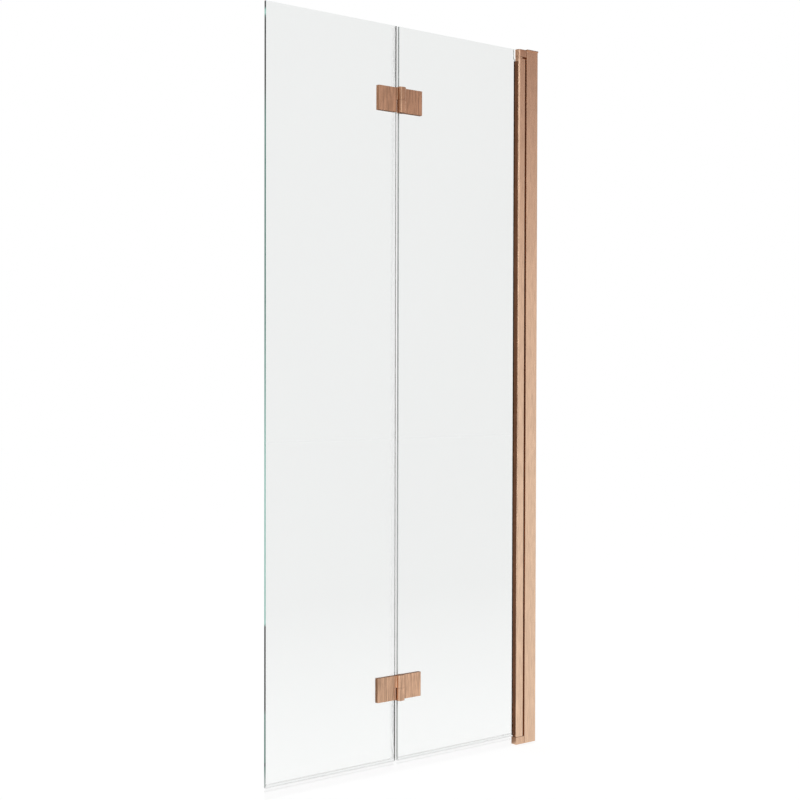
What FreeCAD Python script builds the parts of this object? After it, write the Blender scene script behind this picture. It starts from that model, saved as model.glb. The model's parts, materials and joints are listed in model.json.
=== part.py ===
import FreeCAD, Part
import math
import os

# Folding bath screen: two glass panels, a pair of fold hinges and a wall channel with a pivot profile.
# Millimetres. The wall plane is x = 0 and the screen reaches towards -X. The dry side, where the hinges
# show, faces -Y. The foot of the wall channel stands on the bath rim at z = 0.

# Whole screen
screen_width = 700.0
screen_height = 1500.0
glass_thickness = 5.0
glass_arris = 0.4
fold_line_x = -383.5
fold_gap_outer = 3.9
fold_gap_inner = 2.5

# Wall channel, screwed to the wall, with its top cap and foot plug
channel_width = 32.0
frame_depth = 15.0
channel_wall = 1.6
channel_web = 2.0
channel_edge_r = 0.6
wall_hole_r = 2.6
wall_hole_end = 150.0
wall_hole_count = 4
cap_rise = 3.0
top_cap_thickness = 3.2
top_cap_overhang = 2.2
top_cap_edge_r = 0.8
foot_plug_thickness = 2.0

# Adjuster profile, which slides in the channel and is locked there by tapping screws
adjuster_seam = 1.4
adjuster_reach = 22.0
adjuster_wall = 1.5
slide_clearance = 0.2
adjuster_screw_count = 3
adjuster_screw_end = 250.0
tapping_screw_r = 2.0
tapping_head_r = 3.6
tapping_head_height = 2.2
tapping_hole_clearance = 0.2
tapping_end = 2.0

# Pivot blocks at the top and the foot of the adjuster profile
top_block_rise = 1.3
top_block_height = 15.6
bottom_block_height = 16.0
block_edge_r = 0.5
block_rim_r = 0.6
block_screw_inset = 4.0
block_screw_spacing = 6.0
block_screw_r = 1.8
block_head_r = 2.6
block_head_height = 2.0
block_screw_bite = 8.3
screw_hole_spare = 0.5

# Pivot profile, which holds the inner glass and turns between the blocks
pivot_gap = 3.1
pivot_profile_width = 20.5
pivot_back_r = 2.0
glass_slot_depth = 6.5
slot_end_clearance = 0.5
glazing_gasket_thickness = 1.75
gasket_wing = 6.0
gasket_tip_thickness = 0.7
slot_web = 1.5
chamber_wall = 2.0
chamber_side_wall = 2.5
pivot_axis_inset = 8.5
top_pivot_gap = 4.3

# Pivot pins, bushes and washers
pivot_pin_r = 2.5
pivot_pin_cover = 4.0
pivot_pin_engagement = 18.0
bush_length = 21.0
bush_collar_r = 5.5
bush_collar_clearance = 0.4
bush_nose_inset = 0.3
thrust_washer_thickness = 0.4
running_clearance = 0.05
thrust_clearance = 0.1

# Notch in the inner glass under the top block
notch_edge = 8.0
notch_below_profile = 6.5
notch_corner_r = 8.0

# Drip seals along the foot of both panels
glass_foot = 20.5
drip_wing_height = 5.5
drip_wing_thickness = 1.1
drip_base_thickness = 1.5
drip_lip_top_thickness = 1.6
drip_lip_end_thickness = 0.9
drip_lip_reach = 22.5
drip_bead = 0.5
drip_bead_height = 1.6
drip_fin_root = 2.2
drip_fin_thickness = 1.0
drip_fin_spread = 2.4
drip_fin_reach = 8.5
swing_clearance = 0.6

# Fold seal on the outer glass's inner edge
fold_seal_wing = 12.0
fold_seal_thickness = 1.0
fold_seal_clearance = 0.4
fold_seal_bulb_wall = 0.7
fold_seal_end_gap = 0.8

# Fold hinges
hinge_edge_distance = 149.5
leaf_height = 49.0
leaf_length = 55.7
leaf_thickness = 8.6
leaf_gasket_thickness = 0.5
leaf_gasket_inset = 0.6
leaf_end_r = 1.2
folded_leaf_gap = 1.0
knuckle_width = 17.0
knuckle_proud = 8.5
knuckle_rear_gap = 2.6
knuckle_corner_r = 5.2
knuckle_fillet_r = 1.8
knuckle_overlength = 1.2
leaf_cut_gap = 1.2
hinge_pin_r = 3.0
hinge_pin_cover = 5.0
hinge_bush_wall = 1.2
hinge_washer_inset = 0.3
hinge_washer_thickness = 0.4
grub_screw_length = 5.0
grub_screw_recess = 0.8

# Countersunk fixings that hold the hinge leaves, flush with the wet side of the glass
fixing_spacing = 26.0
fixing_hole_back_r = 9.0
fixing_hole_front_r = 6.5
fixing_sleeve_wall = 1.0
fixing_shank_r = 3.0
fixing_bite = 6.0
socket_r = 2.3
socket_depth = 2.6

# Drawing aids
cut_overrun = 1.0
merge_distance = 1e-6

# Places worked out from the sizes above
half_depth = frame_depth / 2
half_glass = glass_thickness / 2
channel_mouth_x = -channel_width
adjuster_face_x = channel_mouth_x - adjuster_seam
adjuster_half = half_depth - channel_wall - slide_clearance
adjuster_web_x = adjuster_face_x + adjuster_wall
pivot_right_x = adjuster_face_x - pivot_gap
pivot_left_x = pivot_right_x - pivot_profile_width
pivot_axis_x = pivot_right_x - pivot_axis_inset
cap_top = screen_height + cap_rise
channel_top = cap_top - top_cap_thickness
top_block_top = screen_height + top_block_rise
top_block_foot = top_block_top - top_block_height
pivot_top = top_block_foot - top_pivot_gap
pivot_foot = bottom_block_height + thrust_washer_thickness + thrust_clearance
slot_half = half_glass + glazing_gasket_thickness
slot_floor_x = pivot_left_x + glass_slot_depth
gasket_end_x = pivot_left_x - gasket_wing
chamber_left_x = slot_floor_x + slot_web
chamber_right_x = pivot_right_x - chamber_wall
chamber_half = half_depth - chamber_side_wall
outer_glass_x = (-screen_width, fold_line_x - fold_gap_outer)
inner_glass_x = (fold_line_x + fold_gap_inner, slot_floor_x - slot_end_clearance)
notch_x = pivot_left_x - notch_edge
notch_foot = pivot_top - notch_below_profile
leaf_back = half_glass + leaf_gasket_thickness
leaf_front = leaf_back + leaf_thickness
hinge_axis_depth = leaf_front + folded_leaf_gap / 2
knuckle_front = leaf_front + knuckle_proud
knuckle_rear = leaf_back + knuckle_rear_gap
knuckle_half = knuckle_width / 2
hinge_washer_r = min(knuckle_front - hinge_axis_depth, hinge_axis_depth - knuckle_rear) - hinge_washer_inset
knuckle_long_side = max(knuckle_front - hinge_axis_depth, hinge_axis_depth - knuckle_rear)
knuckle_sweep = math.hypot(knuckle_half - knuckle_corner_r, knuckle_long_side - knuckle_corner_r)
leaf_cut = knuckle_sweep + knuckle_corner_r + leaf_cut_gap
hinge_centres = {
    "upper": screen_height - hinge_edge_distance,
    "lower": glass_foot + hinge_edge_distance,
}
fixing_reach = (leaf_cut + leaf_length) / 2

V = FreeCAD.Vector
TO_WALL = V(1, 0, 0)
TO_FRONT = V(0, -1, 0)
UP = V(0, 0, 1)


def plan(a, b):
    """A point of a section that is drawn from above."""
    return V(a, b, 0)


def side(a, b):
    """A point of a section that is drawn from the wall, with a as depth and b as height."""
    return V(0, a, b)


def hinge_plan(sign):
    """Section points of a hinge, from the fold line and from the glass's mid plane towards the front."""
    return lambda a, b: V(fold_line_x + sign * a, -b, 0)


def rounded_face(corners, place):
    """Flat face inside corners (a, b, radius); place turns a pair into a point in space."""
    stops = []
    for number, (a, b, radius) in enumerate(corners):
        corner = V(a, b, 0)
        before = V(*corners[number - 1][:2], 0) - corner
        after = V(*corners[(number + 1) % len(corners)][:2], 0) - corner
        before.normalize()
        after.normalize()
        half_angle = before.getAngle(after) / 2
        reach = radius / math.tan(half_angle)
        start = corner + before * reach
        end = corner + after * reach
        inward = before + after
        if radius:
            inward.normalize()
        middle = corner + inward * (radius / math.sin(half_angle) - radius)
        stops.append([place(point.x, point.y) for point in (start, middle, end)])
    edges = []
    for number, (start, middle, end) in enumerate(stops):
        if start.distanceToPoint(end) > merge_distance:
            edges.append(Part.Arc(start, middle, end).toShape())
        following = stops[(number + 1) % len(stops)][0]
        if end.distanceToPoint(following) > merge_distance:
            edges.append(Part.LineSegment(end, following).toShape())
    return Part.Face(Part.Wire(edges))


def upright(corners, heights, place=plan):
    """Section swept straight up between two heights."""
    face = rounded_face(corners, place)
    face.translate(UP * heights[0])
    return face.extrude(UP * (heights[1] - heights[0]))


def along_wall(corners, ends):
    """Side section swept along the screen between two places on X."""
    face = rounded_face(corners, side)
    face.translate(TO_WALL * ends[0])
    return face.extrude(TO_WALL * (ends[1] - ends[0]))


def rectangle(a, b, radius=0):
    """Corners of a rectangle between two pairs of ends."""
    return [(a[0], b[0], radius), (a[1], b[0], radius), (a[1], b[1], radius), (a[0], b[1], radius)]


def block(x, y, z):
    """Plain block between three pairs of ends."""
    return Part.makeBox(x[1] - x[0], y[1] - y[0], z[1] - z[0], V(x[0], y[0], z[0]))


def rod(radius, base, direction, length):
    """Round rod from a base point."""
    return Part.makeCylinder(radius, length, base, direction)


def hex_socket(base, direction):
    """Six-sided recess that starts at a base point and runs into a screw's head."""
    wire = Part.makePolygon([
        V(socket_r * math.cos(turn), socket_r * math.sin(turn), 0)
        for turn in [math.radians(60 * step) for step in range(7)]
    ])
    prism = Part.Face(wire).extrude(UP * socket_depth)
    prism.Placement = FreeCAD.Placement(base, FreeCAD.Rotation(UP, direction))
    return prism


def wall_hole_heights():
    """Heights of the wall screws' holes, evenly spaced between the two ends."""
    step = (screen_height - 2 * wall_hole_end) / (wall_hole_count - 1)
    return [wall_hole_end + step * number for number in range(wall_hole_count)]


def adjuster_screw_heights():
    """Heights of the tapping screws that lock the adjuster profile."""
    step = (screen_height - 2 * adjuster_screw_end) / (adjuster_screw_count - 1)
    return [adjuster_screw_end + step * number for number in range(adjuster_screw_count)]


def block_screw_heights():
    """Heights of the two screws in each pivot block, by block, set in from the adjuster profile's ends."""
    top = channel_top - block_screw_inset
    foot = foot_plug_thickness + block_screw_inset
    return {"top": (top - block_screw_spacing, top), "bottom": (foot, foot + block_screw_spacing)}


def wall_channel():
    inner = half_depth - channel_wall
    section = [
        (0, -half_depth, 0),
        (0, half_depth, 0),
        (channel_mouth_x, half_depth, channel_edge_r),
        (channel_mouth_x, inner, 0),
        (-channel_web, inner, 0),
        (-channel_web, -inner, 0),
        (channel_mouth_x, -inner, 0),
        (channel_mouth_x, -half_depth, channel_edge_r),
    ]
    channel = upright(section, (0, channel_top))
    for height in wall_hole_heights():
        base = V(-channel_web - cut_overrun, 0, height)
        channel = channel.cut(rod(wall_hole_r, base, TO_WALL, channel_web + 2 * cut_overrun))
    clear_r = tapping_screw_r + tapping_hole_clearance
    for height in adjuster_screw_heights():
        base = V(tapping_x(), half_depth + cut_overrun, height)
        channel = channel.cut(rod(clear_r, base, TO_FRONT, channel_wall + 2 * cut_overrun))
    return channel


def tapping_x():
    """Place of the tapping screws along the channel's side, at the middle of the adjuster profile."""
    return adjuster_face_x + adjuster_reach / 2


def adjuster_profile():
    inner = adjuster_half - adjuster_wall
    open_x = adjuster_face_x + adjuster_reach
    section = [
        (adjuster_face_x, -adjuster_half, 0),
        (open_x, -adjuster_half, 0),
        (open_x, -inner, 0),
        (adjuster_web_x, -inner, 0),
        (adjuster_web_x, inner, 0),
        (open_x, inner, 0),
        (open_x, adjuster_half, 0),
        (adjuster_face_x, adjuster_half, 0),
    ]
    profile = upright(section, (foot_plug_thickness, channel_top))
    for height in adjuster_screw_heights():
        base = V(tapping_x(), adjuster_half + cut_overrun, height)
        profile = profile.cut(rod(tapping_screw_r, base, TO_FRONT, adjuster_wall + 2 * cut_overrun))
    for heights in block_screw_heights().values():
        for height in heights:
            base = V(adjuster_face_x - cut_overrun, 0, height)
            profile = profile.cut(rod(block_screw_r, base, TO_WALL, adjuster_wall + 2 * cut_overrun))
    return profile


def domed_head(radius, height, base, direction):
    """Screw head with a rounded rim; it stands on the base point and rises along the direction."""
    head = rod(radius, base, direction, height)
    top = max(head.Edges, key=lambda edge: (edge.CenterOfMass - base).dot(direction))
    return head.makeFillet(height / 2, [top])


def adjuster_screws():
    length = channel_wall + slide_clearance + adjuster_wall + tapping_end
    screws = []
    for height in adjuster_screw_heights():
        seat = V(tapping_x(), half_depth, height)
        head = domed_head(tapping_head_r, tapping_head_height, seat, -TO_FRONT)
        screw = head.fuse(rod(tapping_screw_r, seat, TO_FRONT, length)).removeSplitter()
        crown = V(tapping_x(), half_depth + tapping_head_height - socket_depth / 2, height)
        screws.append(screw.cut(hex_socket(crown, -TO_FRONT)))
    return Part.makeCompound(screws)


def block_screws():
    screws = []
    for heights in block_screw_heights().values():
        for height in heights:
            seat = V(adjuster_web_x, 0, height)
            head = domed_head(block_head_r, block_head_height, seat, TO_WALL)
            shank = rod(block_screw_r, seat, -TO_WALL, adjuster_wall + block_screw_bite)
            screws.append(head.fuse(shank).removeSplitter())
    return Part.makeCompound(screws)


def drill_block_screws(shape, name):
    """Cut the blind holes that the block's screws bite into."""
    for height in block_screw_heights()[name]:
        base = V(adjuster_face_x + cut_overrun, 0, height)
        depth = cut_overrun + block_screw_bite + screw_hole_spare
        shape = shape.cut(rod(block_screw_r, base, -TO_WALL, depth))
    return shape


def channel_top_cap():
    edge = half_depth + top_cap_overhang
    cap = upright(rectangle((channel_mouth_x, 0), (-edge, edge)), (channel_top, cap_top))
    rims = [
        rim for rim in cap.Edges
        if abs(rim.CenterOfMass.z - cap_top) < merge_distance and abs(rim.CenterOfMass.y) > half_depth
    ]
    return cap.makeFillet(top_cap_edge_r, rims)


def channel_foot_plug():
    inner = half_depth - channel_wall
    return block((channel_mouth_x, -channel_web), (-inner, inner), (0, foot_plug_thickness))


def round_nosed(right_x, right_r):
    """Section of the frame's depth from the pivot profile's round nose to a place nearer the wall."""
    return [
        (right_x, -half_depth, right_r),
        (right_x, half_depth, right_r),
        (pivot_left_x, half_depth, half_depth),
        (pivot_left_x, -half_depth, half_depth),
    ]


def top_pivot_block():
    shape = upright(round_nosed(adjuster_face_x, 0), (top_block_foot, top_block_top))
    rims = [
        rim for rim in shape.Edges
        if abs(rim.CenterOfMass.z - top_block_top) < merge_distance and rim.BoundBox.XLength > merge_distance
    ]
    shape = shape.makeFillet(block_rim_r, rims)
    bore_length = top_block_height - pivot_pin_cover + cut_overrun
    bore = rod(pivot_pin_r, V(pivot_axis_x, 0, top_block_foot - cut_overrun), UP, bore_length)
    return drill_block_screws(shape.cut(bore), "top")


def bottom_pivot_block():
    section = [
        (adjuster_face_x, -half_depth, 0),
        (adjuster_face_x, half_depth, 0),
        (pivot_left_x, half_depth, block_edge_r),
        (pivot_left_x, -half_depth, block_edge_r),
    ]
    shape = upright(section, (0, bottom_block_height))
    bore_length = bottom_block_height - pivot_pin_cover + cut_overrun
    bore = rod(pivot_pin_r, V(pivot_axis_x, 0, pivot_pin_cover), UP, bore_length)
    return drill_block_screws(shape.cut(bore), "bottom")


def top_pivot_pin():
    low = pivot_top - pivot_pin_engagement
    return rod(pivot_pin_r, V(pivot_axis_x, 0, low), UP, top_block_top - pivot_pin_cover - low)


def bottom_pivot_pin():
    high = pivot_foot + pivot_pin_engagement
    return rod(pivot_pin_r, V(pivot_axis_x, 0, pivot_pin_cover), UP, high - pivot_pin_cover)


def bottom_thrust_washer():
    base = V(pivot_axis_x, 0, bottom_block_height)
    disc = rod(bush_collar_r, base, UP, thrust_washer_thickness)
    return disc.cut(rod(pivot_pin_r + running_clearance, base, UP, thrust_washer_thickness))


def pivot_profile():
    span = (pivot_foot, pivot_top)
    slot = rectangle((pivot_left_x - cut_overrun, slot_floor_x), (-slot_half, slot_half))
    chamber = rectangle((chamber_left_x, chamber_right_x), (-chamber_half, chamber_half))
    profile = upright(round_nosed(pivot_right_x, pivot_back_r), span)
    return profile.cut(upright(slot, span)).cut(upright(chamber, span))


def pivot_bush(heights, bore_heights):
    """Plug in the end of the pivot profile's chamber, bored for the pivot pin."""
    plug = upright(rectangle((chamber_left_x, chamber_right_x), (-chamber_half, chamber_half)), heights)
    base = V(pivot_axis_x, 0, bore_heights[0])
    return plug, rod(pivot_pin_r + running_clearance, base, UP, bore_heights[1] - bore_heights[0])


def bush_nose(heights):
    """Round end of the top bush, just inside the pivot profile's nose."""
    base = V(pivot_left_x + half_depth, 0, heights[0])
    return rod(half_depth - bush_nose_inset, base, UP, heights[1] - heights[0])


def top_pivot_bush():
    """Bush with a collar that fills the gap over the pivot profile, and the glass slot above the notch."""
    collar_top = top_block_foot - bush_collar_clearance
    bore_low = pivot_top - pivot_pin_engagement - screw_hole_spare
    plug, bore = pivot_bush((pivot_top - bush_length, pivot_top), (bore_low, top_block_foot))
    collar = rod(bush_collar_r, V(pivot_axis_x, 0, pivot_top), UP, collar_top - pivot_top)
    slot_heights = (notch_foot + slot_end_clearance, pivot_top)
    slot = block((pivot_left_x, slot_floor_x), (-slot_half, slot_half), slot_heights)
    tongue = bush_nose(slot_heights).common(slot)
    pieces = [collar, bush_nose((pivot_top, collar_top)), tongue]
    return plug.fuse(pieces).removeSplitter().cut(bore)


def bottom_pivot_bush():
    bore_high = pivot_foot + pivot_pin_engagement + screw_hole_spare
    plug, bore = pivot_bush((pivot_foot, pivot_foot + bush_length), (pivot_foot, bore_high))
    return plug.cut(bore)


def glazing_gasket(sign):
    """Strip between the inner glass and one lip of the pivot profile, with a wing; sign -1 is the front."""
    section = [
        (slot_floor_x, sign * half_glass, 0),
        (slot_floor_x, sign * slot_half, 0),
        (pivot_left_x, sign * slot_half, 0),
        (gasket_end_x, sign * (half_glass + gasket_tip_thickness), 0),
        (gasket_end_x, sign * half_glass, 0),
    ]
    return upright(section, (glass_foot, notch_foot))


def arrised(plate):
    """Glass plate with its long edges ground to a small chamfer."""
    rims = [
        edge for edge in plate.Edges
        if abs(abs(edge.CenterOfMass.y) - half_glass) < merge_distance
    ]
    return plate.makeChamfer(glass_arris, rims)


def drill_fixings(plate, sign):
    """Cut the countersunk holes for the hinge leaves; sign -1 is the outer panel."""
    for place in hinge_centres:
        for x, z in fixing_places(place, sign):
            plate = plate.cut(fixing_cone(x, z, 0))
    return plate


def fixing_places(place, sign):
    """Centres of the two fixings of one hinge leaf."""
    x = fold_line_x + sign * fixing_reach
    return [(x, hinge_centres[place] + step * fixing_spacing / 2) for step in (-1, 1)]


def outer_glass():
    plate = block(outer_glass_x, (-half_glass, half_glass), (glass_foot, screen_height))
    return drill_fixings(arrised(plate), -1)


def inner_glass():
    outline = [
        (inner_glass_x[0], glass_foot, 0),
        (inner_glass_x[1], glass_foot, 0),
        (inner_glass_x[1], notch_foot, 0),
        (notch_x, notch_foot, notch_corner_r),
        (notch_x, screen_height, 0),
        (inner_glass_x[0], screen_height, 0),
    ]
    face = rounded_face(outline, lambda a, b: V(a, half_glass, b))
    return drill_fixings(arrised(face.extrude(TO_FRONT * glass_thickness)), 1)


def drip_seal(ends):
    """Clip-on strip along a panel's foot: beaded wings, a hanging lip and a short fin on the wet side."""
    wing = half_glass + drip_wing_thickness
    bead = wing + drip_bead
    base = glass_foot - drip_base_thickness
    wing_top = glass_foot + drip_wing_height
    bead_foot = wing_top - drip_bead_height
    lip_end = base - drip_lip_reach
    neck = drip_lip_top_thickness / 2
    tip = drip_lip_end_thickness / 2
    fin_end = base - drip_fin_reach
    section = [
        (-bead, wing_top, 0),
        (-bead, bead_foot, 0),
        (-wing, bead_foot - drip_bead, 0),
        (-wing, base, drip_wing_thickness),
        (-neck, base, 0),
        (-tip, lip_end, 0),
        (tip, lip_end, 0),
        (neck, base, 0),
        (drip_fin_root - drip_fin_thickness, base, 0),
        (drip_fin_root - drip_fin_thickness + drip_fin_spread, fin_end, 0),
        (drip_fin_root + drip_fin_spread, fin_end, 0),
        (drip_fin_root, base, 0),
        (wing, base, drip_wing_thickness),
        (wing, bead_foot - drip_bead, 0),
        (bead, bead_foot, 0),
        (bead, wing_top, 0),
        (half_glass, wing_top, 0),
        (half_glass, glass_foot, 0),
        (-half_glass, glass_foot, 0),
        (-half_glass, wing_top, 0),
    ]
    return along_wall(section, ends)


def inner_drip_end():
    """End of the inner drip seal, beyond the gasket and the circle that the bottom block's corners allow."""
    corner = math.hypot(pivot_axis_x - pivot_left_x, half_depth)
    return min(pivot_axis_x - corner, gasket_end_x) - swing_clearance


def fold_seal(heights):
    """Clip-on strip with a hollow bulb that closes the fold gap, on the outer glass."""
    edge = outer_glass_x[1]
    wing = half_glass + fold_seal_thickness
    base = edge + fold_seal_thickness
    bulb = inner_glass_x[0] - fold_seal_clearance
    section = [
        (edge - fold_seal_wing, -wing, 0),
        (base, -wing, fold_seal_thickness),
        (base, -half_glass, 0),
        (bulb, -half_glass, half_glass),
        (bulb, half_glass, half_glass),
        (base, half_glass, 0),
        (base, wing, fold_seal_thickness),
        (edge - fold_seal_wing, wing, 0),
        (edge - fold_seal_wing, half_glass, 0),
        (edge, half_glass, 0),
        (edge, -half_glass, 0),
        (edge - fold_seal_wing, -half_glass, 0),
    ]
    hollow_half = half_glass - fold_seal_bulb_wall
    hollow_end = bulb - fold_seal_bulb_wall
    hollow = [
        (base, -hollow_half, 0),
        (hollow_end, -hollow_half, hollow_half),
        (hollow_end, hollow_half, hollow_half),
        (base, hollow_half, 0),
    ]
    return upright(section, heights).cut(upright(hollow, heights))


def fold_seal_spans():
    """Heights of the three lengths of fold seal, which stop short of the hinges' knuckles."""
    keep_off = leaf_height / 2 + knuckle_overlength + fold_seal_end_gap
    lower, upper = hinge_centres["lower"], hinge_centres["upper"]
    foot = glass_foot + drip_wing_height + fold_seal_end_gap
    return {
        "bottom": (foot, lower - keep_off),
        "middle": (lower + keep_off, upper - keep_off),
        "top": (upper + keep_off, screen_height - fold_seal_end_gap),
    }


def knuckle_section():
    """Knuckle and the arm that joins it to its leaf, which lies on the positive side."""
    return [
        (leaf_cut, leaf_back, 0),
        (leaf_cut, leaf_front, 0),
        (knuckle_half, leaf_front, knuckle_fillet_r),
        (knuckle_half, knuckle_front, knuckle_corner_r),
        (-knuckle_half, knuckle_front, knuckle_corner_r),
        (-knuckle_half, knuckle_rear, knuckle_corner_r),
        (0, knuckle_rear, 0),
        (0, leaf_back, 0),
    ]


def hinge_leaf(place, sign):
    """Leaf of one hinge: sign 1 is the inner panel's, with the lower knuckle, and -1 the outer panel's."""
    centre = hinge_centres[place]
    low, high = centre - leaf_height / 2, centre + leaf_height / 2
    plate = [
        (leaf_cut, leaf_back, 0),
        (leaf_cut, leaf_front, 0),
        (leaf_length, leaf_front, leaf_end_r),
        (leaf_length, leaf_back, 0),
    ]
    split = hinge_washer_thickness / 2
    if sign > 0:
        arm_heights = (low, centre - split)
        knuckle_heights = (low - knuckle_overlength, centre - split)
        bore_r, bore_low, bore_high = hinge_pin_r, knuckle_heights[0], knuckle_heights[1]
    else:
        arm_heights = (centre + split + thrust_clearance, high)
        knuckle_heights = (arm_heights[0], high + knuckle_overlength)
        bore_r, bore_low, bore_high = hinge_pin_r + hinge_bush_wall, arm_heights[0], high - hinge_pin_cover
    arm = upright(knuckle_section(), arm_heights, hinge_plan(sign))
    barrel = rectangle((-knuckle_half, knuckle_half), (knuckle_rear, knuckle_front), knuckle_corner_r)
    knuckle = upright(barrel, knuckle_heights, hinge_plan(sign))
    leaf = upright(plate, (low, high), hinge_plan(sign)).fuse([arm, knuckle]).removeSplitter()
    leaf = leaf.cut(rod(bore_r, hinge_axis_point(bore_low), UP, bore_high - bore_low))
    for x, z in fixing_places(place, sign):
        depth = fixing_bite + screw_hole_spare
        leaf = leaf.cut(rod(fixing_shank_r, V(x, -leaf_back, z), TO_FRONT, depth))
    return leaf


def hinge_axis_point(height):
    """Point on the fold axis."""
    return V(fold_line_x, -hinge_axis_depth, height)


def hinge_pin_span(place):
    """Foot and top of one hinge pin."""
    knuckle_foot = hinge_centres[place] - leaf_height / 2 - knuckle_overlength
    low = knuckle_foot + grub_screw_recess + grub_screw_length
    return low, hinge_centres[place] + leaf_height / 2 - hinge_pin_cover - screw_hole_spare


def hinge_pin(place):
    low, high = hinge_pin_span(place)
    return rod(hinge_pin_r, hinge_axis_point(low), UP, high - low)


def hinge_grub_screw(place):
    low = hinge_pin_span(place)[0] - grub_screw_length
    grub = rod(hinge_pin_r, hinge_axis_point(low), UP, grub_screw_length)
    return grub.cut(hex_socket(hinge_axis_point(low), UP))


def hinge_bush(place):
    low = hinge_centres[place] + hinge_washer_thickness / 2 + thrust_clearance
    length = hinge_centres[place] + leaf_height / 2 - hinge_pin_cover - low
    sleeve = rod(hinge_pin_r + hinge_bush_wall, hinge_axis_point(low), UP, length)
    return sleeve.cut(rod(hinge_pin_r + running_clearance, hinge_axis_point(low), UP, length))


def hinge_washer(place):
    base = hinge_axis_point(hinge_centres[place] - hinge_washer_thickness / 2)
    disc = rod(hinge_washer_r, base, UP, hinge_washer_thickness)
    return disc.cut(rod(hinge_pin_r + running_clearance, base, UP, hinge_washer_thickness))


def leaf_gasket(place, sign):
    """Thin pad between a hinge leaf and the glass."""
    reach = (leaf_cut + leaf_gasket_inset, leaf_length - leaf_gasket_inset)
    half_height = leaf_height / 2 - leaf_gasket_inset
    centre = hinge_centres[place]
    outline = rectangle(reach, (half_glass, leaf_back))
    pad = upright(outline, (centre - half_height, centre + half_height), hinge_plan(sign))
    for x, z in fixing_places(place, sign):
        pad = pad.cut(rod(fixing_hole_front_r, V(x, -half_glass, z), TO_FRONT, leaf_gasket_thickness))
    return pad


def fixing_cone(x, z, inset):
    """Solid cone through the glass, drawn in from the countersunk hole by an inset."""
    back, front = fixing_hole_back_r - inset, fixing_hole_front_r - inset
    return Part.makeCone(back, front, glass_thickness, V(x, half_glass, z), TO_FRONT)


def fixing_sleeves(place, sign):
    """Conical sleeves that keep the screws off the glass."""
    return Part.makeCompound([
        fixing_cone(x, z, 0).cut(fixing_cone(x, z, fixing_sleeve_wall))
        for x, z in fixing_places(place, sign)
    ])


def fixing_screws(place, sign):
    """Countersunk screws, flush with the wet side, that bite into a hinge leaf."""
    screws = []
    for x, z in fixing_places(place, sign):
        head = fixing_cone(x, z, fixing_sleeve_wall)
        shank = rod(fixing_shank_r, V(x, -half_glass, z), TO_FRONT, leaf_gasket_thickness + fixing_bite)
        screw = head.fuse(shank).removeSplitter()
        screws.append(screw.cut(hex_socket(V(x, half_glass, z), TO_FRONT)))
    return Part.makeCompound(screws)


def build_nodes():
    nodes = {
        "wall_channel": wall_channel(),
        "adjuster_profile": adjuster_profile(),
        "adjuster_screws": adjuster_screws(),
        "channel_top_cap": channel_top_cap(),
        "channel_foot_plug": channel_foot_plug(),
        "top_pivot_block": top_pivot_block(),
        "bottom_pivot_block": bottom_pivot_block(),
        "pivot_block_screws": block_screws(),
        "top_pivot_pin": top_pivot_pin(),
        "bottom_pivot_pin": bottom_pivot_pin(),
        "bottom_thrust_washer": bottom_thrust_washer(),
        "pivot_profile": pivot_profile(),
        "top_pivot_bush": top_pivot_bush(),
        "bottom_pivot_bush": bottom_pivot_bush(),
        "front_glazing_gasket": glazing_gasket(-1),
        "rear_glazing_gasket": glazing_gasket(1),
        "inner_glass": inner_glass(),
        "outer_glass": outer_glass(),
        "inner_drip_seal": drip_seal((inner_glass_x[0], inner_drip_end())),
        "outer_drip_seal": drip_seal(outer_glass_x),
    }
    for name, heights in fold_seal_spans().items():
        nodes[name + "_fold_seal"] = fold_seal(heights)
    for place in hinge_centres:
        for leaf, sign in (("inner", 1), ("outer", -1)):
            nodes[f"{place}_hinge_{leaf}_leaf"] = hinge_leaf(place, sign)
            nodes[f"{place}_hinge_{leaf}_gasket"] = leaf_gasket(place, sign)
            nodes[f"{place}_hinge_{leaf}_sleeves"] = fixing_sleeves(place, sign)
            nodes[f"{place}_hinge_{leaf}_screws"] = fixing_screws(place, sign)
        nodes[f"{place}_hinge_pin"] = hinge_pin(place)
        nodes[f"{place}_hinge_bush"] = hinge_bush(place)
        nodes[f"{place}_hinge_washer"] = hinge_washer(place)
        nodes[f"{place}_hinge_grub_screw"] = hinge_grub_screw(place)
    return nodes


os.makedirs("parts", exist_ok=True)
for node_name, node_shape in build_nodes().items():
    node_shape.exportStep(f"parts/{node_name}.step")
    print(node_name, len(node_shape.Solids), node_shape.isValid(), round(node_shape.Volume))
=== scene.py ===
import json
import math

import bmesh
import bpy
from bpy.props import FloatProperty, FloatVectorProperty, PointerProperty
from bpy.types import Operator, Panel, PropertyGroup
from mathutils import Matrix, Vector

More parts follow.
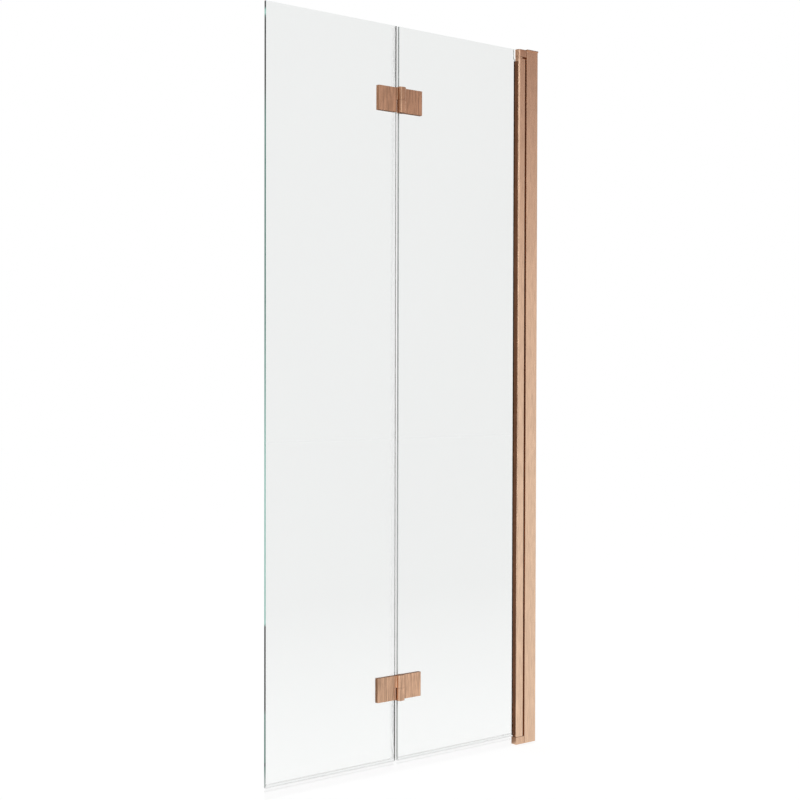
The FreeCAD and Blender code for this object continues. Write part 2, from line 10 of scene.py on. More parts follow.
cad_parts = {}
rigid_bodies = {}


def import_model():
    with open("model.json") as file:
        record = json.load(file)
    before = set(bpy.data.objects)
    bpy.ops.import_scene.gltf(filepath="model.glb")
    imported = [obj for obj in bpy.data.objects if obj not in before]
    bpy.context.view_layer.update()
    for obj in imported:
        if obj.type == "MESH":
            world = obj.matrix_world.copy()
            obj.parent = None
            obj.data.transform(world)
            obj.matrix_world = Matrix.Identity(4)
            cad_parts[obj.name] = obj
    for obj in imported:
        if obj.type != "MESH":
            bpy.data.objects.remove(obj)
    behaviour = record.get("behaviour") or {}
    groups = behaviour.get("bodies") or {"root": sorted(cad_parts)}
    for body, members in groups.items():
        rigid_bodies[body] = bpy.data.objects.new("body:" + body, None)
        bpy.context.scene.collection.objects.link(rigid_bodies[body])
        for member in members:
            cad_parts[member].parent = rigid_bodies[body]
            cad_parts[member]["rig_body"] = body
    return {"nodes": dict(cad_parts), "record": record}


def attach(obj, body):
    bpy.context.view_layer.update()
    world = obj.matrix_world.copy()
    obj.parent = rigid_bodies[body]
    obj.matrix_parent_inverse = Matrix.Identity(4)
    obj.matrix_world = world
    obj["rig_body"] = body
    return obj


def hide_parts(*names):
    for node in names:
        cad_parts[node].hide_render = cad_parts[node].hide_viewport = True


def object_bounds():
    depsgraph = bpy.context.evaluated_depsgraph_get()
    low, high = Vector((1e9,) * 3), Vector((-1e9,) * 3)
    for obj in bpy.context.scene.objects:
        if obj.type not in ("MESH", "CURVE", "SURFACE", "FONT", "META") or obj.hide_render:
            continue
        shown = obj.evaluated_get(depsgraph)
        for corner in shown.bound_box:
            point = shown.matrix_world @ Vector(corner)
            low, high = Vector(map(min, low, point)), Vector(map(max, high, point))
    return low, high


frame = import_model()
cad_low, cad_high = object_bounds()

bl_info = {
    "name": "Folding Bath Screen",
    "version": (1, 0, 0),
    "blender": (4, 5, 0),
    "location": "View3D > Sidebar > Bath Screen",
    "description": "Finishes for a folding bath screen of glass and copper, and a studio to show it in",
    "category": "Object",
}

SCREEN_MIDDLE = (cad_low + cad_high) / 2
NODE_SLOT = {part["node"]: part["material_slot"] for part in frame["record"]["subparts"]}
WHITE = (1, 1, 1)

# Shapes of the copies: points that are one, faces that are one, and edges that are eased
SAME_POINT = 1e-6
FLAT_ANGLE = math.radians(0.5)
SHARP_ANGLE = math.radians(35)
EASED_STEPS = 3

# A pane's face is an upright edge, or its top or foot, if its normal leans this far along X or Z
SIDEWAYS = 0.5
LEANING = 0.1

# Stretches of a noise over which a colour or a roughness changes
NARROW = (0.40, 0.60)
MIDDLE = (0.35, 0.65)
BROAD = (0.3, 0.7)
WIDE = (0.2, 0.8)

# Detail of a noise
PLAIN = 2.0
FINE = 3.0

# Cells of a noise along X, Y and Z, in metres
TINT_CELL = (0.35, 0.35, 0.8)
FREE_EDGE_CELL = (0.02, 0.02, 0.05)
EDGE_CELL = (0.03, 0.03, 0.12)
RIM_CELL = (0.06, 0.02, 0.02)
FROST_CELL = (0.0008, 0.0008, 0.0008)
RIPPLE_CELL = (0.02, 0.02, 0.06)
TURNING_CELL = (0.004, 0.004, 0.0004)

# Roughness at the two ends of a noise
POLISH_GLOSS = (0.12, 0.3)
SEAL_GLOSS = (0.12, 0.26)
STEEL_GLOSS = (0.36, 0.22)

# Copper: shares of the three brush patterns, and the turn that lays the shine across the lines
GRAIN_SHARE = 0.25
STREAK_SHARE = 0.6
BAND_SHARE = 0.15
ACROSS_LINES = 0.25

# Glass, and its upright edges: drift of their tones, where these begin and end (the inner pane's painted
# light, pale at the foot and dimmer at the top), and the free edge's painted reflections by height
GLASS_IOR = 1.5
FREE_EDGE_DRIFT = 0.004
EDGE_DRIFT = 0.1
EDGE_ENDS = (0.1, 0.9)
# Painted reflections: the free edge's dark and grey stretches stand in for what the edge mirrors along its
# height
FREE_EDGE_PAINTED_REFLECTIONS = (
    (0.022, "edge_mist"), (0.042, "edge_deep"), (0.0465, "edge_deep"), (0.047, "edge_dark"),
    (0.0495, "edge_dark"), (0.05, "edge_deep"), (0.111, "edge_deep"), (0.1145, "edge_dark"),
    (0.2195, "edge_dark"), (0.2215, "edge_green"), (0.40, "edge_green"), (0.62, "edge_deep"),
    (0.85, "edge_deep"), (0.89, "edge_grey"), (0.976, "edge_grey"), (0.979, "edge_green"),
    (0.984, "edge_green"), (0.988, "edge_grey"),
)

# Clear surfaces: how they show as they turn away, and how much of a rim shows from inside the glass
FACING_BLEND = 0.3
RIM_TURN = (0.1, 0.3)
RIM_INSIDE = 0.04
SEAL_TURN = (0.2, 1.0)

# Rubber and plastic: the wide mottling's cell in specks and its share, and the spread of the roughness
MOTTLE_SPECKS = (12, 12, 30)
MOTTLE_SHARE = 0.5
SPECK_GLOSS = 0.1

# Painted reflection lines along a drip seal's fin, foot and bead, in shares of the height up to LINE_TOP
LINE_TOP = 0.026
FIN_PAINTED_LINE = (0.42, 0.46, 0.59, 0.63)
FOOT_PAINTED_LINE = (0.74, 0.76, 0.81, 0.83)
BEAD_PAINTED_LINE = (0.94, 0.96)

# Stage: the floor's height, and rows of points at the foot and the head of each card, in metres
FLOOR_GAP = 0.0005
FLOOR_Z = cad_low.z - FLOOR_GAP
CARD_TOP = 2.6
FRONT_CARD = (
    [(-0.72, -0.15, FLOOR_Z), (2.0, -0.15, FLOOR_Z)],
    [(0.3, -1.6, CARD_TOP), (3.0, -1.6, CARD_TOP)],
)
STRIP_CARD = (
    [(-1.55, -2.2, 0.3), (-0.9, -2.2, 0.3)],
    [(-1.55, -2.2, 2.8), (-0.9, -2.2, 2.8)],
)
SIDE_CARD = (
    [(-0.03, 0.02, FLOOR_Z), (-1.6, 0.02, FLOOR_Z), (-1.9, -0.2, FLOOR_Z), (-1.9, -1.15, FLOOR_Z)],
    [(-0.6, 2.0, CARD_TOP), (-3.0, 2.0, CARD_TOP), (-2.4, -0.2, CARD_TOP), (-2.4, -1.35, CARD_TOP)],
)
DARK_CARDS = {
    "dark_card": (
        [(-1.9, -1.15, FLOOR_Z), (-1.75, -1.95, FLOOR_Z)],
        [(-2.4, -1.35, CARD_TOP), (-1.55, -1.95, CARD_TOP)],
    ),
    "ceiling_card": (
        [(-3.0, -2.5, 3.0), (3.0, -2.5, 3.0)],
        [(-3.0, 3.0, 3.0), (3.0, 3.0, 3.0)],
    ),
    "back_card": (
        [(0.2, 2.0, 0.2), (2.8, 2.0, 0.2)],
        [(0.2, 2.0, 1.6), (2.8, 2.0, 1.6)],
    ),
}

# Front card: the lean of its left edge, the width over which its brightness changes, and that change
EDGE_LEAN = 0.3923
EDGE_SPAN = (-0.72, 0.28)
EDGE_LEVELS = ((0.16, 1.0), (0.26, 0.52), (0.36, 0.53), (0.50, 0.71), (0.70, 0.67))
COPPER_FADE_TOP = 2.4
COPPER_FADE = (0.0, 0.2, 0.42, 1.0)

SENSOR_WIDTH = 36.0
CLIP_RANGE = (0.05, 100.0)


# Property helpers

def tone(name, description, default):
    """Colour property in linear light."""
    return FloatVectorProperty(
        name=name, description=description, default=default, size=3, min=0, max=1, subtype="COLOR"
    )


def span(name, description, default):
    """Length property in metres."""
    return FloatProperty(
        name=name, description=description, default=default, min=0, precision=5, unit="LENGTH"
    )


def share(name, description, default):
    """Property between nothing and all."""
    return FloatProperty(
        name=name, description=description, default=default, min=0, max=1, subtype="FACTOR"
    )


def place(name, description, default):
    """Point property in metres."""
    return FloatVectorProperty(
        name=name, description=description, default=default, size=3, subtype="TRANSLATION"
    )


def turn(name, description, default):
    """Angle property, with its default in degrees."""
    return FloatProperty(
        name=name, description=description, default=math.radians(default), precision=4, unit="ROTATION"
    )


class CopperFinish(PropertyGroup):
    """Brushed copper on the profiles, blocks and hinges."""

    profile_tone: tone("Profile tone", "Copper colour of the long profiles", (0.82, 0.566, 0.40))
    casting_tone: tone("Casting tone", "Copper colour of the blocks and the cap", (0.76, 0.505, 0.35))
    hinge_tone: tone("Hinge tone", "Copper colour of the hinge leaves", (0.775, 0.478, 0.316))
    # Painted shade: a darker copy of the copper for the adjuster profile, which stands in the shaded gap
    # beside the pivot profile
    painted_shade_tone: tone("Shaded tone", "Darker copper of the adjuster profile", (0.30, 0.12, 0.055))
    profile_streaks: share("Profile streaks", "Depth of the streaks on profiles and blocks", 0.20)
    hinge_streaks: share("Hinge streaks", "Depth of the streaks on the hinges", 0.44)
    grain_width: span("Grain width", "Width of the fine brush lines", 0.0011)
    grain_length: span("Grain length", "Length of the fine brush lines", 0.02)
    streak_width: span("Streak width", "Width of the brush streaks", 0.0018)
    streak_length: span("Streak length", "Length of the brush streaks", 0.032)
    band_width: span("Band width", "Width of the faint bands", 0.006)
    band_length: span("Band length", "Length of the faint bands", 0.16)
    gloss_low: share("Smooth roughness", "Roughness between the brush lines", 0.22)
    gloss_high: share("Brushed roughness", "Roughness on the brush lines", 0.34)
    drawn_out: share("Drawn-out shine", "How far the brushing draws the shine out sideways", 0.6)
    eased_edge: span("Eased edge", "Width of the softened edges", 0.00035)


class GlassFinish(PropertyGroup):
    """Clear toughened glass with ground edges."""

    tint: tone("Tint", "Light that passes both faces of a pane", (0.938, 0.950, 0.944))
    tint_drift: share("Tint drift", "How much deeper the tint is in places", 0.012)
    edge_green: tone("Green edge", "Green stretches of the free upright edge", (0.50, 0.86, 0.76))
    edge_deep: tone("Deep edge", "Deeper green of the free upright edge", (0.19, 0.36, 0.31))
    # Painted reflections: the dark and grey stretches of the free edge
    edge_dark: tone("Dark edge", "Dark stretches of the free upright edge", (0.075, 0.09, 0.085))
    edge_grey: tone("Grey edge", "Grey stretches of the free upright edge", (0.115, 0.125, 0.12))
    # Painted light: the inner pane's upright edges are pale at the foot and dimmer at the top, as the light
    # falls on them
    painted_pale_edge: tone("Pale edge", "Foot of the inner pane's upright edges", (0.93, 0.97, 0.95))
    edge_mist: tone("Misty edge", "Top of the inner pane's upright edges", (0.68, 0.74, 0.72))
    # Painted shade: the outer pane's edge at the fold is near black, standing in for the shade in the fold
    painted_dark_fold_edge: tone("Fold edge", "Upright edge of the outer pane at the fold", (0.06, 0.066, 0.064))
    rim_body: share("Rim body", "How much of a pane's top, foot and corners shows straight on", 0.8)
    rim_haze: share("Rim haze", "How much of a pane's top, foot and corners shows edge on", 0.03)


class SealFinish(PropertyGroup):
    """Clear plastic of the drip seals and fold seals."""

    tint: tone("Tint", "Light that passes the clear plastic", (0.99, 0.99, 0.99))
    skin: tone("Skin", "Colour of the plastic's surface", (0.70, 0.70, 0.70))
    skin_drift: share("Skin drift", "How much darker the surface is in places", 0.12)
    drip_haze: share("Drip haze", "How much of a drip seal's surface shows straight on", 0.012)
    drip_rim: share("Drip rim", "How much of a drip seal's surface shows edge on", 0.08)
    # Painted reflections: lines of skin along the drip seal's bead, foot and fin
    drip_painted_line: share("Drip line", "How much of the lines along a drip seal's bead and foot shows", 0.10)
    drip_painted_faint_line: share("Faint drip line", "How much of the line along a drip seal's fin shows", 0.03)
    fold_haze: share("Fold haze", "How much of a fold seal's surface shows straight on", 0.008)
    fold_rim: share("Fold rim", "How much of a fold seal's surface shows edge on", 0.10)


class FittingFinish(PropertyGroup):
    """Rubber, plastic and steel of the smaller pieces."""

    # Partly painted shade: a real dark rubber, given the reddish brown of the copper seen in shade beside it
    gasket: tone("Glazing rubber", "Dark brown rubber beside the pivot profile", (0.235, 0.10, 0.05))
    pad: tone("Hinge pad", "Thin pads under the hinge leaves", (0.42, 0.42, 0.41))
    sleeve: tone("Fixing sleeve", "Sleeves round the hinge screws", (0.62, 0.62, 0.60))
    plastic: tone("Bearing plastic", "Bushes, washers and the foot plug", (0.58, 0.36, 0.25))
    steel: tone("Steel", "Pins and screws", (0.55, 0.54, 0.53))
    pad_gap: span("Pad gap", "How far a hinge pad's face stands off the glass", 0.00005)
    speck_size: span("Speck size", "Size of the moulded and ground texture", 0.0012)


class StudioSetup(PropertyGroup):
    """Floor, soft light and camera."""

    floor_reach: span("Floor reach", "Half the width of the floor", 12.0)
    floor_tone: tone("Floor tone", "Colour of the pale floor", (0.80, 0.80, 0.80))
    floor_glow: share("Floor white", "Share of the floor's white that shadows don't touch", 0.88)
    fill: share("Fill", "Strength of the even light from all round", 0.55)
    key_place: place("Lamp place", "Where the soft lamp stands", (-2.6, -2.2, 2.4))
    key_size: span("Lamp size", "Width and height of the soft lamp", 1.6)
    key_power: FloatProperty(
        name="Lamp power", description="Power of the soft lamp", default=20.0, min=0, unit="POWER"
    )
    glass_dark: tone("Glass dark", "Dark that the glass mirrors", (0.05, 0.045, 0.04))
    copper_pale: tone("Copper pale", "Pale warm grey that the copper mirrors", (0.92, 0.87, 0.85))
    copper_dim: tone("Copper dim", "Dim warm tone that it mirrors higher up", (0.28, 0.125, 0.09))
    side_low: tone("Side low", "Dim warm grey at the side, near the floor", (0.35, 0.28, 0.24))
    side_dim: tone("Side dim", "Dim warm grey at the side, higher up", (0.62, 0.51, 0.44))
    dark_side: tone("Dark side", "Dark that the copper's corners mirror", (0.085, 0.032, 0.014))
    strip_light: FloatProperty(
        name="Strip light", description="Strength of the strip that the copper mirrors", default=1.5, min=0
    )
    card_fade: span("Card fade", "Height over which the card turns from white to dark", 0.30)
    camera_place: place("Camera place", "Where the camera stands", (-2.18129, -2.25740, 0.79928))
    camera_yaw: turn("Camera yaw", "Turn of the camera from straight on", 38.667)
    camera_pitch: turn("Camera pitch", "Tilt of the camera upwards", -0.983)
    camera_roll: turn("Camera roll", "Roll of the camera", 0.123)
    camera_lens: FloatProperty(name="Lens", description="Focal length", default=64.381, unit="CAMERA")


class BathScreenSettings(PropertyGroup):
    """All that a user would change."""

    copper: PointerProperty(type=CopperFinish, name="Copper", description="Brushed copper")
    glass: PointerProperty(type=GlassFinish, name="Glass", description="Clear glass")
    seal: PointerProperty(type=SealFinish, name="Seals", description="Clear seals")
    fitting: PointerProperty(type=FittingFinish, name="Fittings", description="Small pieces")
    studio: PointerProperty(type=StudioSetup, name="Studio", description="Floor, light and camera")


# Shader helpers

def add_node(tree, kind, inputs=None, **settings):
    """New node with its settings, and with its unlinked inputs set by name."""
    node = tree.nodes.new(kind)
    for name, value in settings.items():
        setattr(node, name, value)
    for name, value in (inputs or {}).items():
        node.inputs[name].default_value = value
    return node


def opaque(colour):
    """Colour with full alpha, as shader sockets take it."""
    return (*colour, 1)


def empty_material(name):
    """Material with nothing but an output node."""
    material = bpy.data.materials.get(name) or bpy.data.materials.new(name)
    material.use_nodes = True
    tree = material.node_tree
    tree.nodes.clear()
    return material, tree, add_node(tree, "ShaderNodeOutputMaterial")


def show(tree, shader, output):
    """Link a shader to the output of a material or a world."""
    tree.links.new(shader.outputs[0], output.inputs["Surface"])


def surface_material(name, inputs):
    """Material of one Principled node; returns the material, its tree and that node."""
    material, tree, output = empty_material(name)
    skin = add_node(tree, "ShaderNodeBsdfPrincipled", inputs)
    show(tree, skin, output)
    return material, tree, skin


def noise(tree, cell, detail):
    """Noise in the piece's own space, with cells of that size in metres along X, Y and Z."""
    coords = add_node(tree, "ShaderNodeTexCoord")
    mapping = add_node(tree, "ShaderNodeMapping", {"Scale": [1 / size for size in cell]})
    pattern = add_node(tree, "ShaderNodeTexNoise", {"Scale": 1.0, "Detail": detail})
    tree.links.new(coords.outputs["Object"], mapping.inputs["Vector"])
    tree.links.new(mapping.outputs["Vector"], pattern.inputs["Vector"])
    return pattern.outputs["Fac"]


def brush_noise(tree, width, length, detail):
    """Noise drawn out upright, as brushing leaves it."""
    return noise(tree, (width, width, length), detail)


def own_axes(tree):
    """X, Y and Z in the piece's own space."""
    coords = add_node(tree, "ShaderNodeTexCoord")
    axes = add_node(tree, "ShaderNodeSeparateXYZ")
    tree.links.new(coords.outputs["Object"], axes.inputs["Vector"])
    return axes.outputs


def height_share(tree, height):
    """0 at the screen's lowest point, 1 at a height and above."""
    return remap(tree, own_axes(tree)["Z"], (cad_low.z, height), (0.0, 1.0))


def ramp(tree, factor, stops):
    """Colours along a factor, from pairs of a position and a colour."""
    node = add_node(tree, "ShaderNodeValToRGB")
    elements = node.color_ramp.elements
    elements[0].position, elements[-1].position = stops[0][0], stops[-1][0]
    for position, _ in stops[1:-1]:
        elements.new(position)
    for element, (_, colour) in zip(elements, stops):
        element.color = opaque(colour)
    tree.links.new(factor, node.inputs["Fac"])
    return node.outputs["Color"]


def level_ramp(tree, factor, stops):
    """Levels along a factor, from pairs of a position and a level."""
    return ramp(tree, factor, [(position, (level,) * 3) for position, level in stops])


def remap(tree, factor, source, target):
    """Factor moved from one range to another."""
    node = add_node(tree, "ShaderNodeMapRange", {
        "From Min": source[0], "From Max": source[1], "To Min": target[0], "To Max": target[1],
    })
    tree.links.new(factor, node.inputs["Value"])
    return node.outputs["Result"]


def paint(tree, skin, factor, positions, colours):
    """Colour a Principled node along a factor."""
    tones = ramp(tree, factor, list(zip(positions, colours)))
    tree.links.new(tones, skin.inputs["Base Color"])


def roughen(tree, skin, factor, source, target):
    """Vary a Principled node's roughness along a factor."""
    tree.links.new(remap(tree, factor, source, target), skin.inputs["Roughness"])


def combine(tree, operation, first, second):
    """Math on two sockets, or on a socket and a number."""
    node = add_node(tree, "ShaderNodeMath", operation=operation)
    for socket, value in zip(node.inputs, (first, second)):
        if isinstance(value, bpy.types.NodeSocket):
            tree.links.new(value, socket)
        else:
            socket.default_value = value
    return node.outputs["Value"]


def blend(tree, *parts):
    """Weighted sum of pairs of a socket and a weight."""
    total = 0.0
    for socket, weight in parts:
        total = combine(tree, "ADD", combine(tree, "MULTIPLY", socket, weight), total)
    return total


def drifting_height(tree, cell, drift):
    """Share of the screen's height, with a small drift along it."""
    wander = noise(tree, cell, FINE)
    return blend(tree, (height_share(tree, cad_high.z), 1 - drift), (wander, drift))


def bump(tree, skin, height, strength, depth):
    """Fine relief on a Principled node."""
    node = add_node(tree, "ShaderNodeBump", {"Strength": strength, "Distance": depth})
    tree.links.new(height, node.inputs["Height"])
    tree.links.new(node.outputs["Normal"], skin.inputs["Normal"])


def shaded(colour, depth):
    """A darker shade of a colour."""
    return [channel * (1 - depth) for channel in colour]


def seen_directly(tree):
    """1 for what the camera, mirrors and clear glass show, and 0 for what only lights other things."""
    path = add_node(tree, "ShaderNodeLightPath")
    seen = combine(tree, "MAXIMUM", path.outputs["Is Camera Ray"], path.outputs["Is Glossy Ray"])
    return combine(tree, "MAXIMUM", seen, path.outputs["Is Transmission Ray"])


def turned_away(tree, turned, levels):
    """Level that changes as a clear surface turns from straight on to edge on."""
    facing = add_node(tree, "ShaderNodeLayerWeight", {"Blend": FACING_BLEND})
    return remap(tree, facing.outputs["Facing"], turned, levels)


def mixed(tree, factor, first, second):
    """Two shaders mixed by a socket."""
    node = add_node(tree, "ShaderNodeMixShader")
    tree.links.new(factor, node.inputs["Fac"])
    tree.links.new(first.outputs[0], node.inputs[1])
    tree.links.new(second.outputs[0], node.inputs[2])
    return node


# Finishes

def brushed_copper(name, colour, streaks, finish):
    """Copper brushed upright, with lines, streaks and bands in its colour, shine and relief."""
    material, tree, skin = surface_material(name, {
        "Metallic": 1.0,
        "Anisotropic": finish.drawn_out,
        "Anisotropic Rotation": ACROSS_LINES,
    })
    grain = brush_noise(tree, finish.grain_width, finish.grain_length, PLAIN)
    streak = brush_noise(tree, finish.streak_width, finish.streak_length, FINE)
    band = brush_noise(tree, finish.band_width, finish.band_length, PLAIN)
    lines = blend(tree, (grain, GRAIN_SHARE), (streak, STREAK_SHARE), (band, BAND_SHARE))
    paint(tree, skin, lines, NARROW, (shaded(colour, streaks), colour))
    roughen(tree, skin, lines, MIDDLE, (finish.gloss_high, finish.gloss_low))
    brushing = add_node(tree, "ShaderNodeCombineXYZ", {"Z": 1.0})
    tree.links.new(brushing.outputs["Vector"], skin.inputs["Tangent"])
    bump(tree, skin, lines, strength=0.12, depth=0.0002)
    return material


def clear_glass(name, finish):
    """Faces of the panes; lamps shine through them."""
    material, tree, output = empty_material(name)
    body = add_node(tree, "ShaderNodeBsdfPrincipled", {
        "Roughness": 0.0, "IOR": GLASS_IOR, "Transmission Weight": 1.0,
    })
    drift = noise(tree, TINT_CELL, PLAIN)
    paint(tree, body, drift, WIDE, (shaded(finish.tint, finish.tint_drift), finish.tint))
    through = add_node(tree, "ShaderNodeBsdfTransparent", {"Color": opaque(finish.tint)})
    path = add_node(tree, "ShaderNodeLightPath")
    show(tree, mixed(tree, path.outputs["Is Shadow Ray"], body, through), output)
    return material


def free_edge(name, finish):
    """Upright edge that stands free: painted reflections, as grey and dark stretches along its height between
    stretches of the glass's green.
    """
    material, tree, skin = surface_material(name, {"Specular IOR Level": 0.0})
    along = drifting_height(tree, FREE_EDGE_CELL, FREE_EDGE_DRIFT)
    heights, tones = zip(*FREE_EDGE_PAINTED_REFLECTIONS)
    paint(tree, skin, along, heights, [getattr(finish, edge_tone) for edge_tone in tones])
    polish(tree, skin)
    return material


def polished_edge(name, foot_colour, top_colour):
    """Edge whose tone changes from foot to top, with faint changes along it."""
    material, tree, skin = surface_material(name, {"Specular IOR Level": 0.3})
    along = drifting_height(tree, EDGE_CELL, EDGE_DRIFT)
    paint(tree, skin, along, EDGE_ENDS, (foot_colour, top_colour))
    polish(tree, skin)
    return material


def polish(tree, skin):
    """Fine grinding marks left on a polished edge."""
    frost = noise(tree, FROST_CELL, PLAIN)
    roughen(tree, skin, frost, BROAD, POLISH_GLOSS)
    bump(tree, skin, frost, strength=0.1, depth=0.0001)


def show_skin(tree, shown, tint, skin, output):
    """See-through body with as much of a skin as a socket says."""
    through = add_node(tree, "ShaderNodeBsdfTransparent", {"Color": opaque(tint)})
    show(tree, mixed(tree, shown, through, skin), output)


def ground_rim(name, finish):
    """Top, foot and ground corners of a pane: green straight on, and clear edge on and from inside."""
    material, tree, output = empty_material(name)
    skin = add_node(tree, "ShaderNodeBsdfPrincipled", {"Specular IOR Level": 0.3})
    drift = noise(tree, RIM_CELL, FINE)
    paint(tree, skin, drift, BROAD, (finish.edge_deep, finish.edge_green))
    polish(tree, skin)
    shown = turned_away(tree, RIM_TURN, (finish.rim_body, finish.rim_haze))
    inside = add_node(tree, "ShaderNodeNewGeometry").outputs["Backfacing"]
    shown = combine(tree, "MULTIPLY", shown, remap(tree, inside, (0.0, 1.0), (1.0, RIM_INSIDE)))
    show_skin(tree, shown, finish.tint, skin, output)
    return material


def clear_seal(name, finish, haze, rim, lines=()):
    """Soft clear plastic: mostly see-through, with a skin that shows edge on and along painted reflection
    lines.
    """
    material, tree, output = empty_material(name)
    skin = add_node(tree, "ShaderNodeBsdfPrincipled", {"Specular IOR Level": 0.5})
    ripple = noise(tree, RIPPLE_CELL, PLAIN)
    paint(tree, skin, ripple, BROAD, (shaded(finish.skin, finish.skin_drift), finish.skin))
    roughen(tree, skin, ripple, BROAD, SEAL_GLOSS)
    shown = turned_away(tree, SEAL_TURN, (haze, rim))
    if lines:
        shown = combine(tree, "MAXIMUM", shown, level_ramp(tree, height_share(tree, LINE_TOP), lines))
    show_skin(tree, shown, finish.tint, skin, output)
    return material


def painted_line_stops(heights, level):
    """Stops of a painted reflection line along a seal: it comes in, stays at its level, and goes out if it
    has an end.
    """
    return list(zip(heights, (0.0, level, level, 0.0)))


def speckled(name, colour, finish, roughness, shade, specular=0.5):
    """Rubber or moulded plastic with a fine mottled texture."""
    material, tree, skin = surface_material(name, {"Specular IOR Level": specular})
    size = finish.speck_size
    speck = noise(tree, (size, size, size), FINE)
    mottle = noise(tree, [size * specks for specks in MOTTLE_SPECKS], PLAIN)
    texture = blend(tree, (speck, 1 - MOTTLE_SHARE), (mottle, MOTTLE_SHARE))
    paint(tree, skin, texture, MIDDLE, (shaded(colour, shade), colour))
    roughen(tree, skin, texture, BROAD, (roughness + SPECK_GLOSS, roughness - SPECK_GLOSS))
    bump(tree, skin, speck, strength=0.15, depth=0.0001)
    return material


def turned_steel(name, colour, shade):
    """Stainless steel with fine turning lines."""
    material, tree, skin = surface_material(name, {"Metallic": 1.0})
    lines = noise(tree, TURNING_CELL, PLAIN)
    paint(tree, skin, lines, MIDDLE, (shaded(colour, shade), colour))
    roughen(tree, skin, lines, BROAD, STEEL_GLOSS)
    bump(tree, skin, lines, strength=0.1, depth=0.0001)
    return material


# Pieces

def nodes_in(slot):
    """Names of the nodes that have one of the record's material slots."""
    return [name for name, node_slot in NODE_SLOT.items() if node_slot == slot]


def dress(names, material):
    """Give nodes that keep their own shape a finish."""
    for name in names:
        for slot in frame["nodes"][name].material_slots:
            slot.material = material


def clean_copy(node_name, piece_name):
    """New piece with a node's shape, its split corners joined and its flat faces made whole."""
    work = bmesh.new()
    work.from_mesh(frame["nodes"][node_name].data)
    bmesh.ops.remove_doubles(work, verts=work.verts, dist=SAME_POINT)
    bmesh.ops.dissolve_limit(work, angle_limit=FLAT_ANGLE, verts=work.verts, edges=work.edges)
    work.verts.index_update()
    points = [vertex.co.copy() for vertex in work.verts]
    faces = [[vertex.index for vertex in face.verts] for face in work.faces]
    work.free()
    mesh = bpy.data.meshes.new(piece_name)
    mesh.from_pydata(points, [], faces)
    piece = bpy.data.objects.new(piece_name, mesh)
    bpy.context.scene.collection.objects.link(piece)
    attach(piece, frame["nodes"][node_name]["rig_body"])
    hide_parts(node_name)
    return piece


def eased_piece(node_name, width, material):
    """Metal piece with softened edges in place of a node's sharp ones."""
    piece = clean_copy(node_name, node_name + "_eased")
    piece.data.materials.append(material)
    piece.data.shade_smooth()
    bevel = piece.modifiers.new("eased edges", "BEVEL")
    bevel.width = width
    bevel.segments = EASED_STEPS
    bevel.limit_method = "ANGLE"
    bevel.angle_limit = SHARP_ANGLE
    bevel.use_clamp_overlap = True
    bevel.harden_normals = True


def set_back_pad(node_name, gap, material):
    """Hinge pad whose face stands just off the glass, so that the two don't share a surface."""
    piece = clean_copy(node_name, node_name + "_set_back")
    piece.data.materials.append(material)
    points = piece.data.vertices
    face_y = max(point.co.y for point in points)
    for point in points:
        if face_y - point.co.y < gap:
            point.co.y -= gap


def pane(node_name, piece_name, faces, left_edge, right_edge, rims):
    """Glass pane with finishes for its faces, its two upright edges, and its top and foot."""
    piece = clean_copy(node_name, piece_name)
    for material in (faces, left_edge, right_edge, rims):
        piece.data.materials.append(material)
    for polygon in piece.data.polygons:
        if polygon.normal.x < -SIDEWAYS:
            polygon.material_index = 1
        elif polygon.normal.x > SIDEWAYS:
            polygon.material_index = 2
        elif abs(polygon.normal.z) > LEANING:
            polygon.material_index = 3
        else:
            polygon.material_index = 0


class BATHSCREEN_OT_profiles(Operator):
    """Brushed copper wall channel, adjuster profile and pivot profile, the adjuster profile darkened with
    painted shade
    """

    bl_idname = "bath_screen.profiles"
    bl_label = "Copper Profiles"

    def execute(self, context):
        finish = context.scene.bath_screen.copper
        bright = brushed_copper("profile_copper", finish.profile_tone, finish.profile_streaks, finish)
        # Painted shade: the adjuster profile gets the darker copy of the copper
        shade = brushed_copper("adjuster_painted_shade_copper", finish.painted_shade_tone, finish.profile_streaks, finish)
        for name in nodes_in("copper_extrusion"):
            eased_piece(name, finish.eased_edge, shade if name == "adjuster_profile" else bright)
        return {"FINISHED"}


class BATHSCREEN_OT_blocks(Operator):
    """Brushed copper pivot blocks, top pivot bush and channel cap"""

    bl_idname = "bath_screen.blocks"
    bl_label = "Pivot Blocks and Cap"

    def execute(self, context):
        finish = context.scene.bath_screen.copper
        copper = brushed_copper("casting_copper", finish.casting_tone, finish.profile_streaks, finish)
        for name in nodes_in("copper_casting"):
            eased_piece(name, finish.eased_edge, copper)
        return {"FINISHED"}


class BATHSCREEN_OT_hinges(Operator):
    """Brushed copper hinge leaves and their countersunk screws"""

    bl_idname = "bath_screen.hinges"
    bl_label = "Hinge Leaves"

    def execute(self, context):
        finish = context.scene.bath_screen.copper
        copper = brushed_copper("hinge_copper", finish.hinge_tone, finish.hinge_streaks, finish)
        leaves = [name for name in nodes_in("copper_hinge") if name.endswith("_leaf")]
        for name in leaves:
            eased_piece(name, finish.eased_edge, copper)
        dress([name for name in nodes_in("copper_hinge") if name not in leaves], copper)
        return {"FINISHED"}


